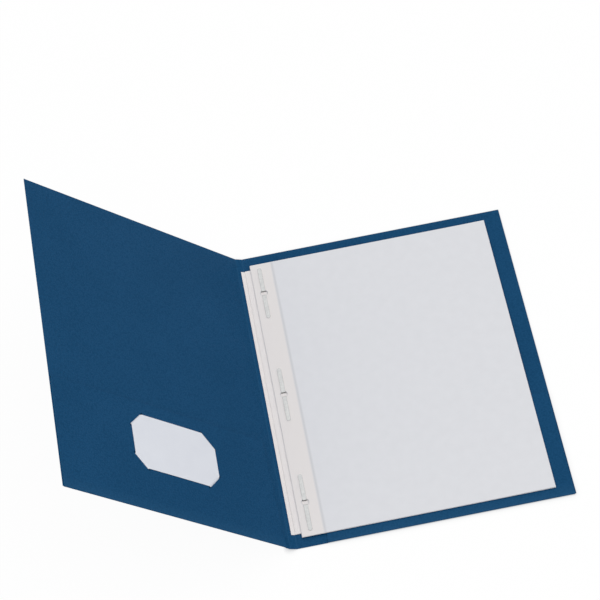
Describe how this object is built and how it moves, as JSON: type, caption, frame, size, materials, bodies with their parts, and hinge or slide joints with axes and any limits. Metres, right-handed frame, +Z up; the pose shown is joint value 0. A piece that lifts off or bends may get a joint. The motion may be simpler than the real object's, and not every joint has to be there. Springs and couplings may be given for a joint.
{
  "type": "two pocket folder",
  "caption": "Open report folder of blue grained card with a pocket inside each cover, bendable metal tangs along the spine holding punched sheets, and a business card tucked in slits.",
  "frame": {"origin": "centre of the back cover's outer face, midway between its crease line and its fore-edge", "axes": "+X from the spine to the back cover's fore-edge, +Y from foot to head, +Z up out of the back cover's inside"},
  "size_m": [0.4036, 0.2986, 0.1792],
  "materials": {
    "cover_stock": "leather-grain embossed card, dark blue",
    "strip_card": "uncoated white card",
    "sheet_paper": "uncoated white paper",
    "visiting_card": "smooth white card",
    "tinned_steel": "tin-plated strip"
  },
  "bodies": {
    "back": {"back_cover": "cover_stock", "back_crease": "cover_stock", "right_pocket": "cover_stock", "right_pocket_fold": "cover_stock", "right_pocket_tab": "cover_stock", "tang_strip": "strip_card", "paper_stack": "sheet_paper", "sheet_margin": "sheet_paper", "upper_fastener": "tinned_steel", "middle_fastener": "tinned_steel", "lower_fastener": "tinned_steel"},
    "spine": {"spine_panel": "cover_stock", "front_crease": "cover_stock"},
    "front": {"front_cover": "cover_stock", "left_pocket": "cover_stock", "left_pocket_fold": "cover_stock", "left_pocket_tab": "cover_stock", "business_card": "visiting_card"},
    "leaf": {"sheet_leaf": "sheet_paper"},
    "upper_head_tang": {"upper_head_tang": "tinned_steel"},
    "upper_foot_tang": {"upper_foot_tang": "tinned_steel"},
    "middle_head_tang": {"middle_head_tang": "tinned_steel"},
    "middle_foot_tang": {"middle_foot_tang": "tinned_steel"},
    "lower_head_tang": {"lower_head_tang": "tinned_steel"},
    "lower_foot_tang": {"lower_foot_tang": "tinned_steel"}
  },
  "joints": [
    {"name": "cover_swing", "type": "hinge", "parent": "back", "child": "spine", "pos_m": [-0.11887, 0, 0.00025], "axis": [0, -1, 0], "range_deg": [-66.1, 23.9]},
    {"name": "front_crease_fold", "type": "hinge", "parent": "spine", "child": "front", "pos_m": [-0.12482, 0, 0.00288], "axis": [0, -1, 0], "range_deg": [-66.1, 23.9]},
    {"name": "leaf_turn", "type": "hinge", "parent": "back", "child": "leaf", "pos_m": [-0.09298, -0.00065, 0.00255], "axis": [0, -1, 0], "range_deg": [0, 105]},
    {"name": "upper_head_tang_bend", "type": "hinge", "parent": "back", "child": "upper_head_tang", "pos_m": [-0.10497, 0.1095, 0.00282], "axis": [1, 0, 0], "range_deg": [0, 90]},
    {"name": "upper_foot_tang_bend", "type": "hinge", "parent": "back", "child": "upper_foot_tang", "pos_m": [-0.10497, 0.1051, 0.00282], "axis": [-1, 0, 0], "range_deg": [0, 90]},
    {"name": "middle_head_tang_bend", "type": "hinge", "parent": "back", "child": "middle_head_tang", "pos_m": [-0.10497, 0.00155, 0.00282], "axis": [1, 0, 0], "range_deg": [0, 90]},
    {"name": "middle_foot_tang_bend", "type": "hinge", "parent": "back", "child": "middle_foot_tang", "pos_m": [-0.10497, -0.00285, 0.00282], "axis": [-1, 0, 0], "range_deg": [0, 90]},
    {"name": "lower_head_tang_bend", "type": "hinge", "parent": "back", "child": "lower_head_tang", "pos_m": [-0.10497, -0.1064, 0.00282], "axis": [1, 0, 0], "range_deg": [0, 90]},
    {"name": "lower_foot_tang_bend", "type": "hinge", "parent": "back", "child": "lower_foot_tang", "pos_m": [-0.10497, -0.1108, 0.00282], "axis": [-1, 0, 0], "range_deg": [0, 90]}
  ],
  "couplings": [
    {"joint": "front_crease_fold", "follows": "cover_swing", "ratio": 1}
  ]
}
